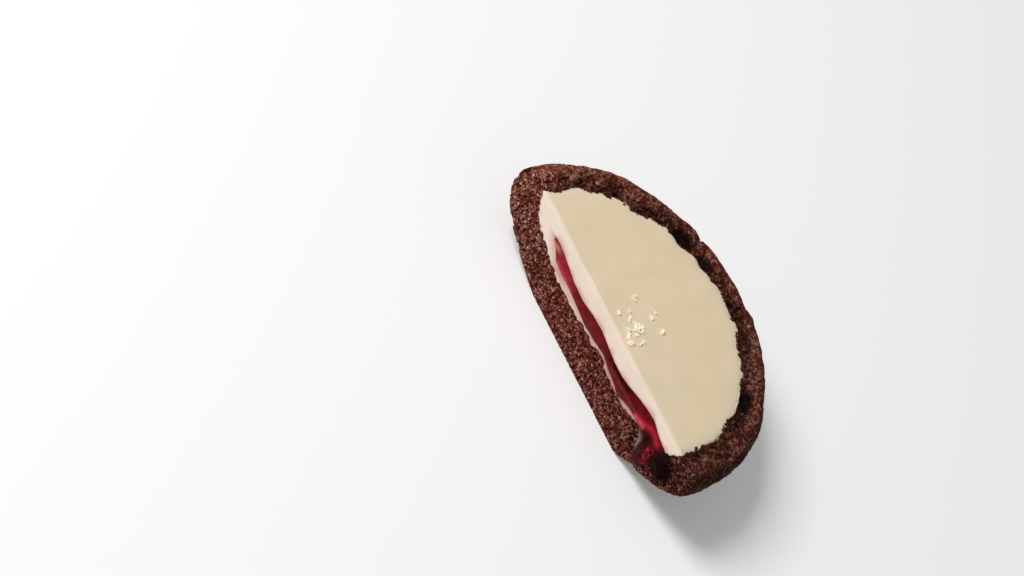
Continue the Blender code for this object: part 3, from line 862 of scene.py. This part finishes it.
def jam_colors(p, x, z, level, pool, marks):
    """The jam's reds, laid one over another from the left tip to the pool, with painted light and
    shade among them: a dark band under the top edge, highlights on the sheen, lip, arch, foot and
    seeds, shade in the hollow and a shadow round the berry.
    """
    ragged = level + 0.30 * cloud(p, 1.1, (5, 5, 2)) + 0.15 * cloud(p, 0.45)
    band = level + 0.14 * cloud(p, 1.1, (5, 5, 2)) + 0.1 * cloud(p, 0.45)
    left = smooth(-15.2, -12.8, x) * (1 - smooth(-9.5, -6.5, x))
    # painted shade: the bright left part darkens at the jam's top edge
    left *= 1 - 0.8 * smooth(0.75, 1.0, ragged)
    in_bed = marks["seeds"] * marks["seed_bed"]
    lip = marks["lip"] * smooth(4.0, 5.4, z) * (1 - smooth(6.8, 7.8, z))
    shades = (
        (JAM_MID, smooth(0.02, 0.45, ragged)),
        (JAM_DEEP, smooth(1.0, 5.0, x) * smooth(0.1, 0.4, level)),
        # painted highlight along the sheen line
        (JAM_SHEEN, 0.75 * beside(x, z, SHEEN_LINE, 0.3)),
        (JAM_CRIMSON, smooth(10.0, 12.5, x) * smooth(0.35, 0.6, level)),
        # painted shade: a dark band under the jam's top edge, where the cream overhangs it, in the
        # next two lines
        (JAM_DARK, smooth(0.60, 0.76, band) * smooth(4.0, 6.5, x) * (1 - smooth(10.5, 12.5, x))),
        (JAM_DEEP, 0.8 * smooth(0.80, 0.95, level) * smooth(-10, -6, x)),
        (JAM_BRIGHT, left),
        # painted highlight low on the bright left part
        (JAM_HIGHLIGHT, 0.5 * left * (1 - smooth(0.1, 0.4, level))),
        (JAM_ORANGE, 0.9 * np.exp(-(((x + 15.5) / 1.1) ** 2) - ((z - 9.6) / 0.5) ** 2)),
        (JAM_TIP, 0.9 * beside(x, z, TIP_LINE, 0.2)),
        (JAM_MID, 0.8 * smooth(13.5, 15.0, x) * (1 - smooth(0.45, 0.7, level))),
        (JAM_FILM, pool * (1 - smooth(5.8, 7.2, z))),
        # painted highlights on the pool's arch and foot
        (ARCH_HIGHLIGHT, marks["arch"]),
        (JAM_HIGHLIGHT, 0.95 * marks["foot_highlight"]),
        # painted shade in the pool's hollow
        (JAM_DARK, marks["hollow"]),
        (JAM_DARK, marks["seed_bed"]),
        (SEED_RED, in_bed),
        # painted highlights on the seeds' ridges
        (JAM_HIGHLIGHT, 0.5 * in_bed * smooth(0.1, 0.4, cloud(p, 0.7, (3, 2, 2)))),
        # painted highlight along the film's lip
        (LIP_HIGHLIGHT, 0.7 * lip),
        # painted shadow on the jam round the berry
        (BERRY_SKIN, 0.9 * marks["shadow_by_berry"]),
    )
    colors = np.tile(linear(JAM_PALE), (len(p), 1))
    for color, amount in shades:
        colors = mix(colors, linear(color), np.clip(amount, 0, 1)[:, None])
    return colors


def make_berry():
    berry = berry_body("whole_currant", 0.0, 6)
    p = points_of(berry)
    n = normals_of(berry)
    wrinkle = 0.22 * cloud(p, 1.3, (3, 3, 7)) + 0.10 * cloud(p, 0.5)
    place_points(berry, p + n * wrinkle[:, None])
    # painted highlight: a navy reflection on the berry's upper left
    navy_highlight = np.exp(-(((p[:, 0] - 22.4) / 0.8) ** 2) - ((p[:, 2] - 8.6) / 0.7) ** 2)
    paint(berry, mix(linear(BERRY_SKIN), linear(BERRY_NAVY_HIGHLIGHT), (0.45 * navy_highlight)[:, None]))
    return berry


def angular_grain(bm, draw, place, size):
    """A broken crystal: a long block with uneven corners, lying at some angle."""
    made = bmesh.ops.create_cube(bm, size=size)["verts"]
    bmesh.ops.scale(bm, vec=(1.0, draw.uniform(0.35, 0.6), draw.uniform(0.35, 0.6)), verts=made)
    for v in made:
        v.co *= draw.uniform(0.8, 1.08)
    turn = Matrix.Rotation(draw.uniform(0, math.pi), 3, "Z")
    tilt = Matrix.Rotation(draw.uniform(-0.6, 0.6), 3, "X")
    bmesh.ops.rotate(bm, cent=(0, 0, 0), matrix=turn @ tilt, verts=made)
    bmesh.ops.translate(bm, vec=place, verts=made)


def make_crystals():
    """The placed crystals, then small chips strewn round them."""
    bm = bmesh.new()
    draw = random.Random(CRYSTAL_SEED)
    for x, depth in CRYSTALS:
        size = draw.uniform(*CRYSTAL_SIZES)
        angular_grain(bm, draw, (x, CUT + depth, CREAM_TOP + 0.12 * size), size)
    for _ in range(CHIPS):
        x, depth = draw.choice(CRYSTALS)
        size = draw.uniform(*CHIP_SIZES)
        x += draw.gauss(0, CHIP_SPREAD)
        depth = max(1.0, depth + draw.gauss(0, CHIP_SPREAD))
        angular_grain(bm, draw, (x, CUT + depth, CREAM_TOP), size)
    bmesh.ops.recalc_face_normals(bm, faces=bm.faces)
    return new_object("sugar_crystals", bm)


def scatter(bm, draw, places, sizes):
    """Rounded broken grains at those places, made in small batches and joined."""
    for start in range(0, len(places), BATCH):
        batch = bmesh.new()
        for place in places[start:start + BATCH]:
            size = mix(*sizes, draw.random() ** 2)
            made = bmesh.ops.create_icosphere(batch, subdivisions=1, radius=size)["verts"]
            bmesh.ops.scale(batch, vec=[draw.uniform(0.7, 1.15) for _ in range(3)], verts=made)
            for v in made:
                v.co *= draw.uniform(0.88, 1.06)
            spot = Vector(place)
            spot.y = max(spot.y, CUT + 0.7 * size)
            bmesh.ops.translate(batch, vec=spot, verts=made)
        mesh = bpy.data.meshes.new("batch")
        batch.to_mesh(mesh)
        batch.free()
        bm.from_mesh(mesh)
        bpy.data.meshes.remove(mesh)


def picked(draw, where, count):
    """That many points, some of them more than once, from those where it holds."""
    chosen = np.flatnonzero(where)
    return np.array([draw.choice(chosen) for _ in range(count)])


def make_crumbs(cut_crust, outer_crust):
    """Loose grains in the cut crust, on the rim and over the cream's edge."""
    bm = bmesh.new()
    draw = random.Random(CRUMB_SEED)
    p = points_of(cut_crust)
    n = normals_of(cut_crust)
    face = (p[:, 1] < CUT + 0.6) & (n[:, 1] < -0.5) & (p[:, 2] > 0.4)
    scatter(bm, draw, p[picked(draw, face, CUT_GRAINS)], CUT_GRAIN_SIZES)
    gap, _ = filling_side(p)
    torn = (p[:, 1] < CUT + 0.5) & (gap < 0.5) & (p[:, 0] > -23) & (p[:, 0] < 14)
    scatter(bm, draw, p[picked(draw, torn, TORN_GRAINS)] + (0, 0, 0.1), TORN_GRAIN_SIZES)

    p = points_of(outer_crust)
    n = normals_of(outer_crust)
    gap, inward = filling_side(p)
    rim = (p[:, 2] > 12.3) & (gap < 3.5) & (n[:, 2] > 0.2)
    scatter(bm, draw, p[picked(draw, rim, RIM_GRAINS)], RIM_GRAIN_SIZES)

    patchy = cloud(p, 2.4, (6, 6, 1)) > -0.2
    edge = (p[:, 2] > 12.1) & (p[:, 2] < 12.8) & (gap < 0.35) & (p[:, 1] > CUT + 0.4) & patchy
    spots = picked(draw, edge, EDGE_GRAINS)
    reach = np.array([EDGE_REACH * draw.random() ** 1.4 for _ in spots])
    _, angle = polar(p[spots])
    near_cut = 1 - smooth(8, 35, angle) * (1 - smooth(150, 172, angle))
    reach *= mix(1.0, 0.35, near_cut)
    places = p[spots] + inward[spots] * (1, 1, 0) * reach[:, None]
    places[:, 2] = CREAM_TOP - 0.12
    scatter(bm, draw, places, EDGE_GRAIN_SIZES)
    lumps = [
        (r * math.cos(math.radians(a)), r * math.sin(math.radians(a)), CREAM_TOP) for a, r in LUMPS
    ]
    scatter(bm, draw, lumps, LUMP_SIZES)

    crumbs = new_object("crumbs", bm)
    paint(crumbs, loose_colors(points_of(crumbs)))
    return crumbs


def loose_colors(p):
    """Pale and dark grains at the cut, baked ones on the rim, dark ones over the cream's edge."""
    gap, _ = filling_side(p)
    cut = p[:, 1] < CUT + 0.8
    over_edge = (p[:, 2] > 12.1) & (gap < 1.1) & ~cut
    tone = np.array([noise.cell(Vector(q)) for q in p / 0.8])
    dark = linear(CRUMB_DARK)
    inside = mix(dark, linear(CRUMB_LIGHT), (0.75 * np.maximum(tone, 0) ** 1.5)[:, None])
    inside = mix(inside, linear(CRUMB_PIT), np.maximum(-tone, 0)[:, None] ** 0.5)
    # painted light and shade along the cut, as on the crust
    inside *= between(CUT_PAINTED_LIGHT, p[:, 0])[:, None]
    baked = mix(dark, linear(RIM_BAKED), (0.5 + 0.5 * tone)[:, None])
    deep = mix(linear(EDGE_DARK), linear(EDGE_BROWN), tone[:, None] ** 2)
    # painted light and shade round the rim, as on the crust
    deep *= between(RIM_PAINTED_LIGHT, polar(p)[1])[:, None]
    colors = np.where(cut[:, None], inside, baked)
    return np.where(over_edge[:, None], deep, colors)


# materials


def add(tree, kind, inputs=None, **settings):
    """A node with its settings, and its inputs as values or as links from other nodes."""
    made = tree.nodes.new(kind)
    for name, value in settings.items():
        setattr(made, name, value)
    for name, value in (inputs or {}).items():
        if isinstance(value, bpy.types.NodeSocket):
            tree.links.new(value, made.inputs[name])
        else:
            made.inputs[name].default_value = value
    return made


def start_material(name, **sockets):
    """A material with its shader's sockets set, named with _ for a blank."""
    material = bpy.data.materials.new(name)
    material.use_nodes = True
    tree = material.node_tree
    shader = tree.nodes["Principled BSDF"]
    for key, value in sockets.items():
        shader.inputs[key.replace("_", " ")].default_value = value
    return material, tree, shader


def per_mm(size):
    """Texture scale for a pattern of that size in millimetres, on coordinates in metres."""
    return 1000.0 / size


def add_noise(tree, size, detail, roughness):
    place = add(tree, "ShaderNodeTexCoord").outputs["Object"]
    made = add(tree, "ShaderNodeTexNoise", {
        "Vector": place, "Scale": per_mm(size), "Detail": detail, "Roughness": roughness,
    })
    return made.outputs["Fac"]


def add_bump(tree, shader, height, strength, distance):
    bump = add(tree, "ShaderNodeBump", {
        "Height": height, "Strength": strength, "Distance": distance,
    })
    tree.links.new(bump.outputs[0], shader.inputs["Normal"])


def mottle(tree, shader, pattern, span, shades):
    """The piece's own colours, made darker and lighter where the pattern is low and high."""
    tint = add(tree, "ShaderNodeAttribute", attribute_name="tint").outputs["Color"]
    shade = add(tree, "ShaderNodeMapRange", {
        "Value": pattern, "From Min": span[0], "From Max": span[1],
        "To Min": shades[0], "To Max": shades[1],
    })
    color = add(tree, "ShaderNodeVectorMath", {0: tint, 1: shade.outputs[0]}, operation="MULTIPLY")
    tree.links.new(color.outputs[0], shader.inputs["Base Color"])


def rgba(hexadecimal):
    return (*linear(hexadecimal), 1)


def crust_material():
    # Cocoa short crust, baked: dry, rough crumb with pits painted dark as shade and paler broken
    # grains.
    material, tree, shader = start_material(
        "baked cocoa short crust", Roughness=0.78, Specular_IOR_Level=0.06,
    )
    speck = add_noise(tree, 0.33, 4.0, 0.65)
    mottle(tree, shader, speck, (0.34, 0.66), (0.55, 1.45))
    add_bump(tree, shader, speck, 0.9, 0.00012)
    return material


def cream_material():
    # Set cream filling: smooth and close, a soft satin with a little light passing into it.
    material, tree, shader = start_material(
        "set cream filling", Roughness=0.42, Subsurface_Weight=0.25, Subsurface_Scale=0.0012,
        Subsurface_Radius=(1.0, 0.7, 0.45),
    )
    mottle(tree, shader, add_noise(tree, 6.0, 3.0, 0.5), (0.3, 0.7), (0.965, 1.03))
    add_bump(tree, shader, add_noise(tree, 1.6, 4.0, 0.5), 0.35, 0.00006)
    return material


def jam_material():
    # Sieved raspberry jam, cut: deep red and smooth, a little cloudy where it is thin.
    material, tree, shader = start_material(
        "sieved raspberry jam", Roughness=0.3, Subsurface_Weight=0.08, Subsurface_Scale=0.0005,
        Subsurface_Radius=(1.0, 0.2, 0.15), Specular_IOR_Level=0.04,
    )
    pulp = add_noise(tree, 0.9, 4.0, 0.6)
    mottle(tree, shader, pulp, (0.3, 0.7), (0.75, 1.25))
    add_bump(tree, shader, pulp, 0.3, 0.0001)
    return material


def berry_material():
    # Ripe currant skin: near black, with a faint bloom that takes the shine off.
    material, tree, shader = start_material(
        "ripe currant skin", Roughness=0.35, Specular_IOR_Level=0.02,
    )
    tint = add(tree, "ShaderNodeAttribute", attribute_name="tint").outputs["Color"]
    bloom = add_noise(tree, 0.9, 5.0, 0.6)
    faint = add(tree, "ShaderNodeMapRange", {
        "Value": bloom, "From Min": 0.45, "From Max": 0.7, "To Max": 0.5,
    })
    color = add(tree, "ShaderNodeMix", {
        "Factor": faint.outputs[0], 6: tint, 7: rgba(BERRY_BLOOM),
    }, data_type="RGBA")
    tree.links.new(color.outputs[2], shader.inputs["Base Color"])
    add_bump(tree, shader, bloom, 0.4, 0.0001)
    return material


def sugar_material():
    # Coarse sugar: clear crystals, white to straw where they take up the cream's colour, with a
    # faint glow painted in as light passing through them.
    material, tree, shader = start_material(
        "coarse sugar", Roughness=0.3, IOR=1.54, Subsurface_Weight=0.6, Subsurface_Scale=0.0006,
        Subsurface_Radius=(1.0, 0.9, 0.75), Emission_Color=rgba(SUGAR_GLOW),
        Emission_Strength=0.12,
    )
    place = add(tree, "ShaderNodeTexCoord").outputs["Object"]
    cells = add(tree, "ShaderNodeTexVoronoi", {"Vector": place, "Scale": per_mm(0.9)})
    color = add(tree, "ShaderNodeMix", {
        "Factor": cells.outputs["Distance"], 6: rgba(SUGAR_WHITE), 7: rgba(SUGAR_STRAW),
    }, data_type="RGBA")
    tree.links.new(color.outputs[2], shader.inputs["Base Color"])
    return material


def crumb_material():
    # Broken grains of the same crust, dry, paler where they come from inside it.
    material, tree, shader = start_material(
        "loose crust crumb", Roughness=0.8, Specular_IOR_Level=0.06,
    )
    mottle(tree, shader, add_noise(tree, 0.4, 4.0, 0.7), (0.35, 0.65), (0.6, 1.4))
    return material


# assembly


def settle(obj, node, material):
    """Puts a piece into the part's frame in place of its solid."""
    obj.data.transform(Matrix.Scale(0.001, 4) @ Matrix.Translation((*AXIS_PLACE, 0)))
    obj.data.materials.clear()
    obj.data.materials.append(material)
    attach(obj, "root")
    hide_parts(node)


def make_stage():
    bm = bmesh.new()
    bmesh.ops.create_grid(bm, x_segments=1, y_segments=1, size=BOARD_SIZE)
    floor = new_object("floor", bm)
    # Matt white board: it glows a little, so that it stays white beside the cookie.
    material, _, _ = start_material(
        "matt white board", Roughness=0.9, Base_Color=rgba(BOARD_WHITE),
        Emission_Color=(1, 1, 1, 1), Emission_Strength=BOARD_GLOW,
    )
    floor.data.materials.append(material)

    world = bpy.context.scene.world or bpy.data.worlds.new("studio")
    bpy.context.scene.world = world
    world.use_nodes = True
    background = world.node_tree.nodes["Background"]
    background.inputs["Color"].default_value = (1, 1, 1, 1)
    background.inputs["Strength"].default_value = SKY_STRENGTH

    way = Vector(LAMP_WAY).normalized()
    lamp = bpy.data.lights.new("soft_window", "AREA")
    lamp.shape = "SQUARE"
    lamp.size = LAMP_SIZE
    lamp.energy = LAMP_STRENGTH * math.pi ** 2 * LAMP_DISTANCE ** 2
    light = bpy.data.objects.new("soft_window", lamp)
    light.location = way * LAMP_DISTANCE
    light.rotation_mode = "QUATERNION"
    light.rotation_quaternion = (-way).to_track_quat("-Z", "Y")
    bpy.context.scene.collection.objects.link(light)


def make_camera():
    data = bpy.data.cameras.new("camera")
    data.lens = CAMERA_LENS
    data.sensor_width = 36
    data.clip_start = 0.01
    camera = bpy.data.objects.new("camera", data)
    camera.location = CAMERA_PLACE
    camera.rotation_mode = "QUATERNION"
    look = Vector(CAMERA_WAY).to_track_quat("-Z", "Y")
    camera.rotation_quaternion = look @ Quaternion((0, 0, 1), math.radians(CAMERA_ROLL))
    bpy.context.scene.collection.objects.link(camera)
    bpy.context.scene.camera = camera


def main():
    for obj in list(bpy.data.objects):
        if obj.name in ("Cube", "Light", "Camera"):
            bpy.data.objects.remove(obj, do_unlink=True)
    bpy.context.scene.view_settings.view_transform = "Standard"
    jam_room = jam_body("jam_room", 0.0, 2.0)
    berry_room = berry_body("berry_room", 0.02, 4)
    cut_crust, outer_crust = make_crust(jam_room, berry_room)
    crumbs = make_crumbs(cut_crust, outer_crust)
    cream = make_cream(jam_room, berry_room)
    jam = make_jam(berry_room)
    for room in (jam_room, berry_room):
        bpy.data.objects.remove(room, do_unlink=True)
    crust = crust_material()
    pieces = [
        (cut_crust, "crust", crust), (outer_crust, "crust", crust),
        (crumbs, "crust", crumb_material()),
        (cream, "cream", cream_material()), (make_crystals(), "cream", sugar_material()),
        (jam, "jam", jam_material()), (make_berry(), "berry", berry_material()),
    ]
    for obj, node, material in pieces:
        settle(obj, node, material)
        if obj.name != "sugar_crystals":
            obj.data.shade_smooth()
    make_stage()
    make_camera()


main()
